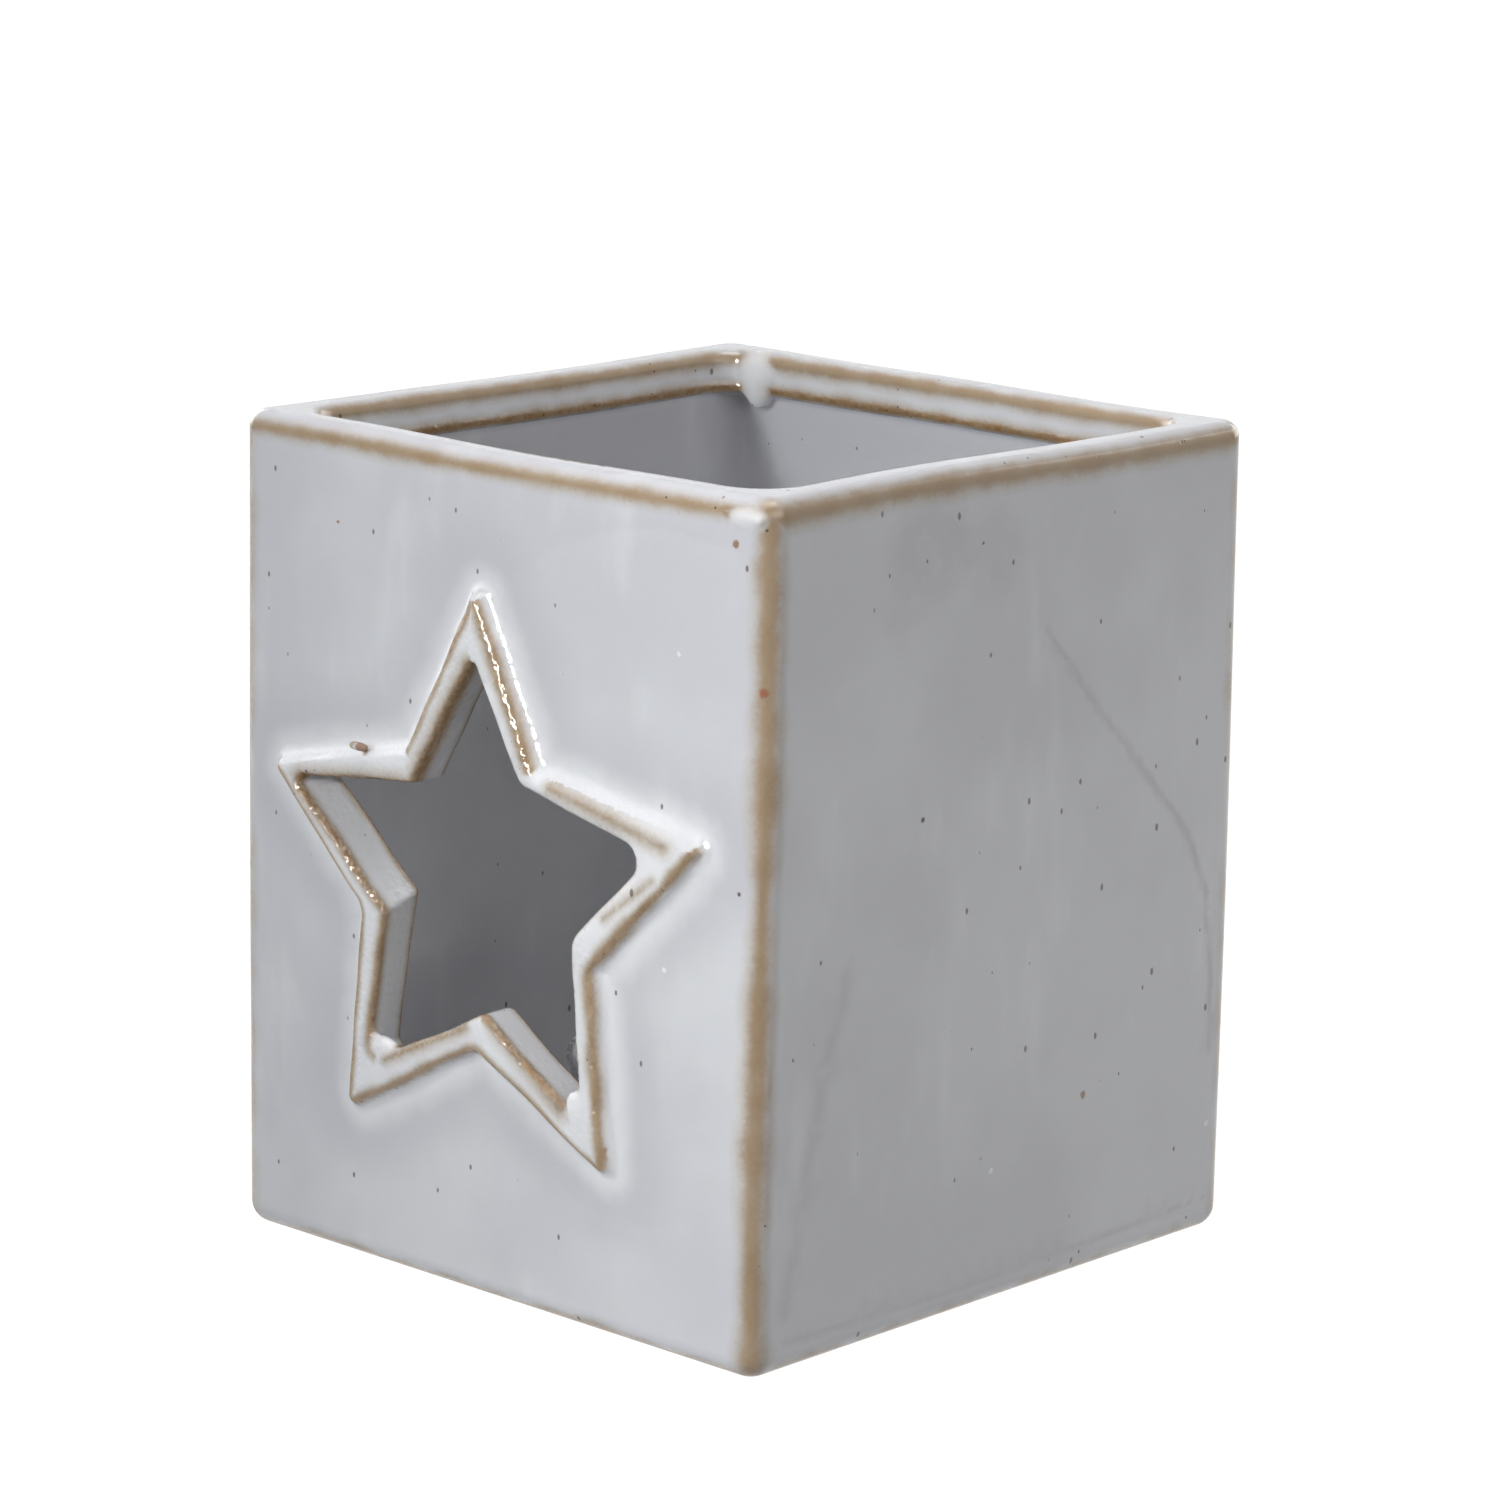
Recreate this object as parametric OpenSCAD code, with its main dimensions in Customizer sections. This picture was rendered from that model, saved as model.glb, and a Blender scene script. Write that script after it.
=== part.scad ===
/* [Body] */
// Outside width of the square body, side to side and front to back
body_w = 80; // [66:1:120]
// Height of the rim above the table
body_h = 94; // [74:1:150]
// Thickness of the four walls below the collar
wall_t = 3.5; // [2.5:0.1:4.4]
// Thickness of the floor
floor_t = 5; // [3:0.5:9]
// Radius of the four upright outside edges
side_edge_r = 3; // [1:0.5:5]
// Radius of the outside edge around the base
base_edge_r = 2.5; // [0.5:0.5:4]
// Radius of the outside edge around the rim
rim_edge_r = 1.5; // [0.5:0.25:2]
// Radius of the four upright corners inside
inner_corner_r = 3; // [2:0.5:6]

/* [Collar] */
// Thickness of the wall where it is thickened around the mouth
collar_t = 5; // [4.5:0.1:8]
// Height of the thickened band, measured down from the rim
collar_h = 5.2; // [3:0.2:8]
// Radius of the four upright corners of the mouth
mouth_corner_r = 5; // [2:0.5:8]

/* [Star window] */
// Number of points on the star
star_points = 5; // [5:1:7]
// How far the star's centre sits below the middle of the front wall
star_drop = 0.8; // [0:0.2:4]
// Radius from the centre to the points of the cut-out
star_tip_r = 26.7; // [20:0.1:27]
// Radius from the centre to the inner corners of the cut-out
star_notch_r = 14.3; // [11:0.1:16]
// Width of the raised frame around the cut-out
frame_w = 3.1; // [2:0.1:3.5]
// Height of the raised frame above the front wall
frame_raise = 1.8; // [0.6:0.1:3]

/* [Tealight cup] */
// Outside diameter of the cup's wall
cup_d = 38; // [32:0.5:46]
// Height of the cup
cup_h = 15.5; // [15:0.5:22]
// Thickness of the cup's metal
cup_t = 0.4; // [0.3:0.05:0.8]
// Radius of the bead rolled around the cup's lip
lip_r = 0.45; // [0.4:0.05:0.8]
// Height of the ring that the cup stands on
foot_h = 0.6; // [0.4:0.1:1.2]
// Width of the ring that the cup stands on
foot_w = 2.4; // [1.5:0.1:4]

/* [Candle] */
// Height of the wax
wax_h = 11.5; // [9:0.5:14]
// Gap between the wax and the cup's wall
wax_gap = 0.3; // [0.2:0.05:0.6]
// Radius of the wax's top and bottom edges
wax_edge_r = 0.8; // [0.3:0.1:2]
// Diameter of the wick
wick_d = 1.6; // [1:0.1:2.5]
// Length of wick that stands out of the wax
wick_stand = 9; // [5:0.5:14]
// Diameter of the sustainer's disc under the wax
disc_d = 12.5; // [8:0.5:18]
// Thickness of the sustainer's disc and of its neck
disc_t = 0.3; // [0.3:0.05:0.6]
// Height of the neck that grips the wick
neck_h = 4; // [2:0.5:6]

/* [Hidden] */
$fn = 96;
// How far a cut runs past the face it opens, and how deep the frame is rooted in the wall
past = 1;
inside_w = body_w - 2 * wall_t;
mouth_w = body_w - 2 * collar_t;
mouth_z = body_h - collar_h;
front_y = -body_w / 2;
star_z = body_h / 2 - star_drop;
half_step = 180 / star_points;
side_l = sqrt(pow(star_tip_r, 2) + pow(star_notch_r, 2) - 2 * star_tip_r * star_notch_r * cos(half_step));
side_distance = star_tip_r * star_notch_r * sin(half_step) / side_l;
frame_scale = 1 + frame_w / side_distance;
cup_r = cup_d / 2;
wax_z = floor_t + foot_h + cup_t;
wax_r = cup_r - cup_t - wax_gap;
wick_z = wax_z + disc_t;
wick_l = wax_h - disc_t + wick_stand;
neck_r = wick_d / 2 + disc_t;

// Upright rectangle with rounded corners, standing on the X axis
module rounded_profile(w, h, low_r, high_r) {
    polygon([
        [low_r - w / 2, 0],
        [w / 2 - low_r, 0],
        [w / 2, low_r],
        [w / 2, h - high_r],
        [w / 2 - high_r, h],
        [high_r - w / 2, h],
        [-w / 2, h - high_r],
        [-w / 2, low_r]
    ]);
    for (side = [-1, 1]) {
        translate([side * (w / 2 - low_r), low_r]) circle(low_r);
        translate([side * (w / 2 - high_r), h - high_r]) circle(high_r);
    }
}

// Square bar with rounded upright edges, centred on the axis and standing at z = 0
module square_bar(w, h, r) {
    linear_extrude(h) translate([0, -w / 2]) rounded_profile(w, w, r, r);
}

// Whole outside of the body: a square bar rounded along its base and its rim
module block() {
    intersection() {
        square_bar(body_w, body_h, side_edge_r);
        for (turn = [0, 90]) {
            rotate([90, 0, turn])
                linear_extrude(body_w + 2 * past, center = true)
                    rounded_profile(body_w, body_h, base_edge_r, rim_edge_r);
        }
    }
}

// Solid star, pointing up, whose back is at depth behind the front wall's face
module star_bar(growth, depth, length) {
    translate([0, front_y + depth, star_z])
        rotate([90, 0, 0])
            linear_extrude(length)
                polygon([
                    for (i = [0 : 2 * star_points - 1])
                        let (r = growth * (i % 2 == 0 ? star_tip_r : star_notch_r))
                        [r * cos(90 + i * half_step), r * sin(90 + i * half_step)]
                ]);
}

// Glazed stoneware casting: floor, four walls, collar and framed star window in one piece
module holder_body() {
    color("gainsboro")
        difference() {
            union() {
                block();
                star_bar(frame_scale, past, past + frame_raise);
            }
            translate([0, 0, floor_t]) square_bar(inside_w, mouth_z - floor_t, inner_corner_r);
            translate([0, 0, mouth_z - past]) square_bar(mouth_w, collar_h + 2 * past, mouth_corner_r);
            star_bar(1, wall_t + past, wall_t + frame_raise + 2 * past);
        }
}

// Pressed aluminium cup, standing on a ring, with a bead rolled around its lip
module tealight_cup() {
    color("silver")
        translate([0, 0, floor_t])
            rotate_extrude() {
                polygon([
                    [0, foot_h],
                    [cup_r - foot_w, foot_h],
                    [cup_r - foot_w, 0],
                    [cup_r, 0],
                    [cup_r, cup_h - lip_r],
                    [cup_r - cup_t, cup_h - lip_r],
                    [cup_r - cup_t, cup_t],
                    [cup_r - foot_w + cup_t, cup_t],
                    [cup_r - foot_w + cup_t, foot_h + cup_t],
                    [0, foot_h + cup_t]
                ]);
                translate([cup_r + lip_r - cup_t, cup_h - lip_r]) circle(lip_r);
            }
}

// Puck of wax with a pocket for the sustainer and a hole for the wick
module candle_wax() {
    color("ivory")
        translate([0, 0, wax_z])
            difference() {
                rotate_extrude()
                    intersection() {
                        rounded_profile(2 * wax_r, wax_h, wax_edge_r, wax_edge_r);
                        square([wax_r, wax_h]);
                    }
                cylinder(h = wax_h + past, d = wick_d);
                cylinder(h = 2 * disc_t, d = disc_d, center = true);
                cylinder(h = neck_h, r = neck_r);
            }
}

// Braided cotton wick, standing on the sustainer's disc
module wick() {
    color("linen")
        translate([0, 0, wick_z]) cylinder(h = wick_l, d = wick_d);
}

// Thin steel disc with a neck crimped around the wick
module wick_sustainer() {
    color("darkgray")
        translate([0, 0, wax_z]) {
            cylinder(h = disc_t, d = disc_d);
            difference() {
                cylinder(h = neck_h, r = neck_r);
                translate([0, 0, disc_t]) cylinder(h = neck_h, d = wick_d);
            }
        }
}

holder_body();
tealight_cup();
candle_wax();
wick();
wick_sustainer();
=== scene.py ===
import math

import bpy
import numpy as np
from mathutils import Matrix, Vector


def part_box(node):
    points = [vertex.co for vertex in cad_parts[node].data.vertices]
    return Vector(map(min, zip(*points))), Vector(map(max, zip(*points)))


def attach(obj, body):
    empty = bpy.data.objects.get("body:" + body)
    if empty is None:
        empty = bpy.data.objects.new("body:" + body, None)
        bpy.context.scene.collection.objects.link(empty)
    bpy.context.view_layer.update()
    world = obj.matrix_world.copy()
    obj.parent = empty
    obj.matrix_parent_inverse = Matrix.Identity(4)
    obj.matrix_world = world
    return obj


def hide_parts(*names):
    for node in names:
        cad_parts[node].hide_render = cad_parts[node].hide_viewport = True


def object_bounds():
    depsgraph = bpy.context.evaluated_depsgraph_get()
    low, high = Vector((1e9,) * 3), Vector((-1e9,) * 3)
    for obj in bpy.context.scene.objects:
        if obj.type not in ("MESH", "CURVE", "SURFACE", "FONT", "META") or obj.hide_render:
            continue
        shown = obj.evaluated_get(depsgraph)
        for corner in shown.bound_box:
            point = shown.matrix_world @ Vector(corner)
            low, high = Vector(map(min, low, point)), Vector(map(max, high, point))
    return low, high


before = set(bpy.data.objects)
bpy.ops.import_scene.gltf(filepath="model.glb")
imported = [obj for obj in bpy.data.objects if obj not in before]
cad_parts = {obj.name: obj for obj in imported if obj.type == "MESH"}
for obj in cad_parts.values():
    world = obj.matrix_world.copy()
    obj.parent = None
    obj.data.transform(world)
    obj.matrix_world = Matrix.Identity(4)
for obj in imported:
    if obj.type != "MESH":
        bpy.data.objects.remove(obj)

import openvdb
from mathutils import Matrix, Vector

cad_low, cad_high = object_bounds()
MM = 0.001

# --- Sizes of the stoneware body, in millimetres; the outside and the floor come from the frame ---
body_low, body_high = (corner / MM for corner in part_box("holder_body"))
HALF = body_high.x
HEIGHT = body_high.z
FRONT = body_low.y
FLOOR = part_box("tealight_cup")[0].z / MM
WALL, COLLAR, COLLAR_DEPTH = 3.5, 5.0, 5.2
CHAMBER = HALF - WALL
MOUTH = HALF - COLLAR
COLLAR_LOW = HEIGHT - COLLAR_DEPTH
OVERCUT = 3.0  # how far the mouth and the window reach into the chamber that they open

SIDE_EDGE_R = 3.0
BASE_EDGE_R = 2.6
RIM_EDGE_R = 1.9
RIM_INNER_R = 1.4
CHAMBER_CORNER_R = 3.0
CHAMBER_TOP_R = 0.8
MOUTH_CORNER_R = 5.0
COLLAR_EDGE_R = 0.9
COVE_R = 3.0

# --- The star: a regular one, then each corner nudged as the knife left it (across, up) ---
STAR_DROP = 0.8
STAR_Z = HEIGHT / 2 - STAR_DROP
STAR_TIP, STAR_NOTCH = 26.7, 14.3
FRAME_SCALE = 1.24
FRAME_NUDGES = ((-0.9, -0.6), (-2.0, 0.2), (0.0, 0.1), (0.2, 0.1), (-0.6, -0.2),
                (-0.5, 0.2), (-0.5, -0.7), (-1.6, 0.7), (-0.5, -1.3), (-1.0, -0.4))
FRAME_ROUNDS = (0.7, 1.6, 0.8, 1.0, 0.7, 1.6, 1.0, 2.2, 0.9, 1.0)
WINDOW_NUDGES = ((-1.0, -1.7), (-2.3, 1.4), (-2.8, -0.4), (0.3, 2.0), (-0.6, 0.0),
                 (0.8, 1.0), (-0.5, 0.8), (-0.8, -0.3), (-3.0, -0.4), (-1.8, -1.0))
WINDOW_ROUNDS = (0.7, 2.0, 1.9, 2.6, 0.8, 1.3, 1.3, 0.6, 0.8, 0.5)
TIP_REACH = 1.4  # how far a tip is drawn out before it is rounded, in radii
FRAME_EDGE_R = 0.7
FRAME_FOOT_R = 1.6
FRAME_ROOT = 2.0  # how deep the frame is rooted in the wall
FRAME_DOME = 0.3
NARROWEST_BAND = 0.5
WINDOW_EDGE_R = 0.7

# The lower wall of the window's left arm: a corner of it, the direction it faces, and its slant per mm
SLANT_CORNER, SLANT_NORMAL = (-13.4, 42.5), (-0.726, -0.69)
SLANT_ACROSS, SLANT_UP, SLANT_START, SLANT_DEPTH = 0.1, 0.42, 0.8, 5

# --- Thick glaze that ran and pooled: centre, radii, blending radius ---
RUNS = (
    ((-31.0, 35.6, 91.6), (2.4, 1.4, 2.2), 1.2),
    ((-30.8, 35.4, 89.4), (1.7, 1.4, 2.2), 1.0),
    ((36.7, -39.9, 91.8), (1.9, 0.5, 0.8), 0.6),
    ((-15.0, -40.9, 26.0), (1.5, 0.8, 1.1), 1.6),
    ((14.9, -41.3, 25.6), (1.0, 0.9, 1.6), 0.8),
    ((-18.5, -41.6, 59.4), (1.5, 0.5, 0.5), 0.6),
)
POOLING = RUNS[:5]  # the last is a lump under the chip in the star's frame, with no white pool

# --- Brown strokes on the star's band: from, to, half width, how faint (0 is full brown) ---
STROKES = (
    ((11.0, 59.8), (27.5, 56.2), 1.4, 0.6), ((3.0, 32.0), (13.0, 24.8), 1.5, 0.5),
    ((-14.0, 24.9), (-1.5, 31.0), 1.0, 0.5), ((19.0, 47.0), (26.0, 52.4), 1.0, 0.75),
    ((-11.0, 43.4), (-13.4, 41.8), 0.6, 0.0), ((19.2, 21.5), (18.9, 20.0), 0.6, 0.2),
)

# --- Faint darker traces in the glaze of the right face: points as (y, z), half width, strength ---
TRACES = (
    (((5, 75), (13, 66), (20, 59), (26.4, 52.5), (31, 47.5), (34, 41), (35.6, 32), (36, 22)), 0.55, 0.75),
    (((-26.5, 42), (-29, 34), (-31.5, 24), (-33.5, 14), (-35, 7)), 1.1, 0.55),
    (((-35, 3.6), (-10, 3.2), (12, 3.4), (36, 4.2)), 0.4, 0.6),
)
# Smudges there: centre and radii as (y, z), strength
SMUDGES = (
    ((-14.5, 85.5), (6.5, 5.0), 0.6), ((-3.5, 84.0), (4.0, 4.5), 0.45), ((-19.0, 82.0), (3.0, 5.0), 0.35),
)

# --- How finely the body is meshed, in millimetres ---
VOXEL = 0.4
GRID_MARGIN = 3 * VOXEL
GRID_BAND = 1.2
GRID_ADAPTIVITY = 0.1
LONGEST, SHORTEST, OFF_SKIN = 4.0, 0.3, 0.012
MESH_PASSES = 6


# --- Signed distances in millimetres, negative inside ---
def star_corners(scale, nudges):
    """The star's ten corners from the top point clockwise, in the plane of the front wall."""
    corners = []
    for i, nudge in enumerate(nudges):
        radius = scale * (STAR_TIP if i % 2 == 0 else STAR_NOTCH)
        angle = math.pi / 2 - i * math.pi / 5
        corners.append((radius * math.cos(angle) + nudge[0], STAR_Z + radius * math.sin(angle) + nudge[1]))
    return np.array(corners)


def rounded(corners, radii, steps=7):
    """The outline with each corner cut back to an arc. Tips are first drawn out, so that they still reach."""
    middle = corners.mean(axis=0)
    corners = corners.copy()
    for i in range(0, len(corners), 2):
        outward = (corners[i] - middle) / np.linalg.norm(corners[i] - middle)
        corners[i] += outward * radii[i] * TIP_REACH
    outline = []
    for i, radius in enumerate(radii):
        corner = corners[i]
        to_last = corners[i - 1] - corner
        to_next = corners[(i + 1) % len(corners)] - corner
        a, b = to_last / np.linalg.norm(to_last), to_next / np.linalg.norm(to_next)
        half_angle = math.acos(np.clip(a @ b, -1, 1)) / 2
        centre = corner + (a + b) / np.linalg.norm(a + b) * radius / math.sin(half_angle)
        start = corner + a * radius / math.tan(half_angle) - centre
        end = corner + b * radius / math.tan(half_angle) - centre
        for t in np.linspace(0, 1, steps):
            along = start * (1 - t) + end * t
            outline.append(centre + along / np.linalg.norm(along) * radius)
    return np.array(outline)


def hand_cut(outline, seed, spacing=1.2):
    """The outline with the slight waver of a hand-cut edge."""
    points = []
    for a, b in zip(outline, np.roll(outline, -1, axis=0)):
        count = max(1, int(np.linalg.norm(b - a) / spacing))
        points += [a + (b - a) * k / count for k in range(count)]
    points = np.array(points)
    along = np.roll(points, -1, axis=0) - np.roll(points, 1, axis=0)
    out = np.stack([-along[:, 1], along[:, 0]], axis=1) / np.linalg.norm(along, axis=1, keepdims=True)
    shift = 0.06 * np.sin(0.5 * points[:, 0] + seed) + 0.05 * np.sin(0.85 * points[:, 1] + 2 * seed)
    return points + out * shift[:, None]


class Outline:
    """Distance to a closed outline, kept on a fine grid so that it is quick to look up."""

    STEP, BESIDE, ABOVE = 0.1, 3, 8

    def __init__(self, outline):
        reach = HALF + self.BESIDE
        self.low = np.array([-reach, STAR_Z - reach - self.ABOVE])
        self.count = (int(2 * reach / self.STEP), int((2 * reach + 2 * self.ABOVE) / self.STEP))
        x = (self.low[0] + self.STEP * np.arange(self.count[0]))[:, None]
        z = (self.low[1] + self.STEP * np.arange(self.count[1]))[None, :]
        nearest = np.full(self.count, np.inf)
        inside = np.zeros(self.count, bool)
        for (ax, az), (bx, bz) in zip(outline, np.roll(outline, -1, axis=0)):
            ex, ez = bx - ax, bz - az
            t = np.clip(((x - ax) * ex + (z - az) * ez) / (ex * ex + ez * ez), 0, 1)
            nearest = np.minimum(nearest, (x - ax - ex * t) ** 2 + (z - az - ez * t) ** 2)
            if bz != az:
                inside ^= ((az > z) != (bz > z)) & (x < ax + ex * (z - az) / ez)
        self.table = np.where(inside, -1, 1) * np.sqrt(nearest)

    def __call__(self, x, z):
        u = np.clip((x - self.low[0]) / self.STEP, 0, self.count[0] - 1.001)
        v = np.clip((z - self.low[1]) / self.STEP, 0, self.count[1] - 1.001)
        i, j = np.floor(u).astype(int), np.floor(v).astype(int)
        u, v = u - i, v - j
        t = self.table
        lower = t[i, j] * (1 - u) + t[i + 1, j] * u
        upper = t[i, j + 1] * (1 - u) + t[i + 1, j + 1] * u
        return lower * (1 - v) + upper * v


frame_outline = Outline(hand_cut(rounded(star_corners(FRAME_SCALE, FRAME_NUDGES), FRAME_ROUNDS), 1.0))
window_outline = Outline(hand_cut(rounded(star_corners(1.0, WINDOW_NUDGES), WINDOW_ROUNDS), 4.0))


def fade(value, low, high):
    """Goes from 0 to 1 as value goes from low to high."""
    return np.clip((value - low) / (high - low), 0, 1)


def window_distance(x, y, z):
    """Distance to the cut-out; the lower wall of its left arm was cut on a slant, rising inwards."""
    across = SLANT_NORMAL[0] * (x - SLANT_CORNER[0]) + SLANT_NORMAL[1] * (z - SLANT_CORNER[1])
    near_wall = fade(across, -5, -2) * fade(z, 35, 40) * fade(-x, 8, 12)
    depth = np.clip(y - FRONT - SLANT_START, 0, SLANT_DEPTH)
    return window_outline(x - SLANT_ACROSS * depth * near_wall, z - SLANT_UP * depth * near_wall)


def square_distance(x, y, half, radius):
    """Distance to an upright square post with rounded corners."""
    qx, qy = np.abs(x) - half + radius, np.abs(y) - half + radius
    return np.hypot(np.maximum(qx, 0), np.maximum(qy, 0)) + np.minimum(np.maximum(qx, qy), 0) - radius


def meet(a, b, radius):
    """Where both are solid, with the edge between them rounded."""
    return (np.minimum(np.maximum(a, b), -radius)
            + np.hypot(np.maximum(a + radius, 0), np.maximum(b + radius, 0)))


def join(a, b, radius):
    """Where either is solid, with the corner between them filled."""
    return (np.maximum(np.minimum(a, b), radius)
            - np.hypot(np.maximum(radius - a, 0), np.maximum(radius - b, 0)))


def run_distance(x, y, z, centre, radii):
    """Distance to an egg-shaped blob of glaze."""
    p = [(c - m) for c, m in zip((x, y, z), centre)]
    near = np.sqrt(sum((c / r) ** 2 for c, r in zip(p, radii)))
    far = np.sqrt(sum((c / r ** 2) ** 2 for c, r in zip(p, radii)))
    return near * (near - 1) / np.maximum(far, 1e-6)


def body_distance(x, y, z):
    """The whole casting: block, star frame, hollow, window and runs of glaze."""
    block = meet(square_distance(x, y, HALF, SIDE_EDGE_R), z - HEIGHT, RIM_EDGE_R)
    block = meet(block, -z, BASE_EDGE_R)
    from_frame, from_window = frame_outline(x, z), window_distance(x, y, z)
    across = (from_window + from_frame) / np.maximum(from_window - from_frame, NARROWEST_BAND)
    dome = FRAME_DOME * np.clip(across, -1, 1) ** 2
    star_frame = meet(from_frame, FRONT + dome - y, FRAME_EDGE_R)
    block = join(block, np.maximum(star_frame, y + HALF - FRAME_ROOT), FRAME_FOOT_R)
    chamber = meet(square_distance(x, y, CHAMBER, CHAMBER_CORNER_R), FLOOR - z, COVE_R)
    chamber = meet(chamber, z - COLLAR_LOW, CHAMBER_TOP_R)
    mouth = np.maximum(square_distance(x, y, MOUTH, MOUTH_CORNER_R), COLLAR_LOW - OVERCUT - z)
    hollow = join(chamber, mouth, COLLAR_EDGE_R)
    body = meet(block, -hollow, RIM_INNER_R)
    window = np.maximum(from_window, y + CHAMBER - OVERCUT)
    body = meet(body, -window, WINDOW_EDGE_R)
    for centre, radii, blend in RUNS:
        body = join(body, run_distance(x, y, z, centre, radii), blend)
    return body


def slope(points, step=0.05):
    """Gradient of body_distance at each point."""
    columns = []
    for axis in range(3):
        shift = np.zeros(3)
        shift[axis] = step
        columns.append(body_distance(*(points + shift).T) - body_distance(*(points - shift).T))
    return np.stack(columns, axis=1) / (2 * step)


def on_skin(points, passes=3, flattest=0.2, farthest=0.3):
    """The points moved onto the casting's skin, at most farthest in each pass."""
    for _ in range(passes):
        g = slope(points)
        move = (body_distance(*points.T)[:, None] * g
                / np.maximum((g * g).sum(axis=1, keepdims=True), flattest))
        points = points - np.clip(move, -farthest, farthest)
    return points


# --- What the glaze does at each point of the skin ---
NO_LINE, NO_HALO = 9, 20

# Each brown line's half width in millimetres and how much of that it wavers
POST_LINE, RIM_LINE, LIP_LINE = (1.35, 0.25), (1.0, 0.15), (0.75, 0.2)
SHELF_LINE, FOOT_LINE = (0.8, 0.25), (0.6, 0.6)
ROUND_MIDDLE = 0.293  # how far a rounded corner's middle lies inside the sharp one, as a share of its radius
PALE_Z, PALE_REACH, PALE = 50, 8, 0.28  # where halfway up the upright edges' lines are paler, and by how much


def waver(t, seed):
    """A slow wander between about -1 and 1 along a line."""
    return (np.sin(0.31 * t + seed) + np.sin(0.173 * t + 2.1 * seed) + np.sin(0.83 * t + 3.7 * seed)) / 3


def wavering(line, t, seed):
    """The half width of a brown line along its length."""
    width, amount = line
    return width * (1 + amount * waver(t, seed))


def line_gap(a, b, width):
    """How far a point is from a line, in half widths of the line."""
    return np.hypot(a, b) / width


def off_line(u, v, start, end):
    """How far (u, v) is from the nearest point of a straight line, along u and along v."""
    (au, av), (bu, bv) = start, end
    t = np.clip(((u - au) * (bu - au) + (v - av) * (bv - av)) / ((bu - au) ** 2 + (bv - av) ** 2), 0, 1)
    return u - au - t * (bu - au), v - av - t * (bv - av)


def growth(outline, x, z, across=0.0, up=0.0):
    """How fast the distance to an outline grows to the right (across) or upwards (up)."""
    return (outline(x + across, z + up) - outline(x - across, z - up)) / (2 * (across + up))


def shelf_line(x, y, z, in_mouth):
    """How near the brown line under the collar a point is."""
    return line_gap(in_mouth, z - COLLAR_LOW - 0.7, wavering(SHELF_LINE, x + 1.7 * y, 6.0))


def body_lines(x, y, z, outside, in_mouth):
    """How near a brown line of the upright edges, the rim, the mouth's lip or the foot a point is."""
    corner = HALF - ROUND_MIDDLE * SIDE_EDGE_R
    around = x + 1.7 * y
    post = line_gap(np.abs(x) - corner, np.abs(y) - corner, wavering(POST_LINE, z + 40 * np.sign(x), 1.0))
    post = post + PALE * np.exp(-((z - PALE_Z) / PALE_REACH) ** 2)
    tall = np.where(np.abs(x) > np.abs(y), 1.2, 0.85)
    rim = line_gap((outside + 0.1) / 0.8, (z - HEIGHT + 1.65) / tall, wavering(RIM_LINE, around, 2.0))
    lip = line_gap(in_mouth - 0.2, (z - HEIGHT + 1.0) / 1.15, wavering(LIP_LINE, around, 3.0))
    lip = np.where(outside < -1.5, lip, NO_LINE)
    foot = np.maximum(z - 0.5, 0) / wavering(FOOT_LINE, around, 5.0)
    foot = np.where(outside > -1.5, foot, NO_LINE)
    return np.minimum.reduce([post, rim, lip, foot])


def star_lines(x, y, z, from_frame, from_window, seen):
    """The same for the star: its frame's outer foot, the window's edges and the strokes on its band."""
    rise, side = growth(frame_outline, x, z, up=0.2), growth(frame_outline, x, z, across=0.2)
    outer_width = (0.55 + 0.22 * np.clip(side, 0, 1)) * (1 + 0.35 * waver(x * 1.3 + z, 4.0))
    outer = line_gap(from_frame + 0.3 + 0.35 * np.clip(-side, 0, 1), y - FRONT - 0.25, outer_width)
    outer = outer + 2.0 * np.clip((rise - 0.6) / 0.25, 0, 1)
    inner = line_gap(from_window - 0.1 * seen, y - FRONT - 0.9 + 0.45 * seen, 0.5 + 0.15 * seen)
    rear = line_gap(from_window, y + CHAMBER + 0.1, 0.65)
    top_wall = line_gap(from_window, y - FRONT - 1.0, 1.2)
    top_wall = np.where((z > STAR_Z + 8) & (seen > 0.5), top_wall, NO_LINE)
    nearest = np.minimum.reduce([outer, inner, rear, top_wall])
    for start, end, width, faint in STROKES:
        off = faint + line_gap(*off_line(x, z, start, end), width)
        nearest = np.minimum(nearest, np.where(y < FRONT + 0.9, off, NO_LINE))
    return nearest


def right_face_traces(x, y, z):
    """How strong the darker traces and smudges of the right face are."""
    trace_and_shade = np.zeros(len(x))
    for line, width, strength in TRACES:
        for start, end in zip(line, line[1:]):
            dy, dz = off_line(y, z, start, end)
            off = line_gap(dy - 0.3 * waver(4 * z, 8.0), dz, width)
            trace_and_shade = np.maximum(trace_and_shade, strength * np.clip(1.3 - off, 0, 1))
    for (cy, cz), (ry, rz), strength in SMUDGES:
        off = line_gap((y - cy) / ry, (z - cz) / rz, 1)
        trace_and_shade = np.maximum(trace_and_shade, strength * np.clip(2.6 - 2 * off, 0, 1))
    return trace_and_shade * (x > HALF - 1)


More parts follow.
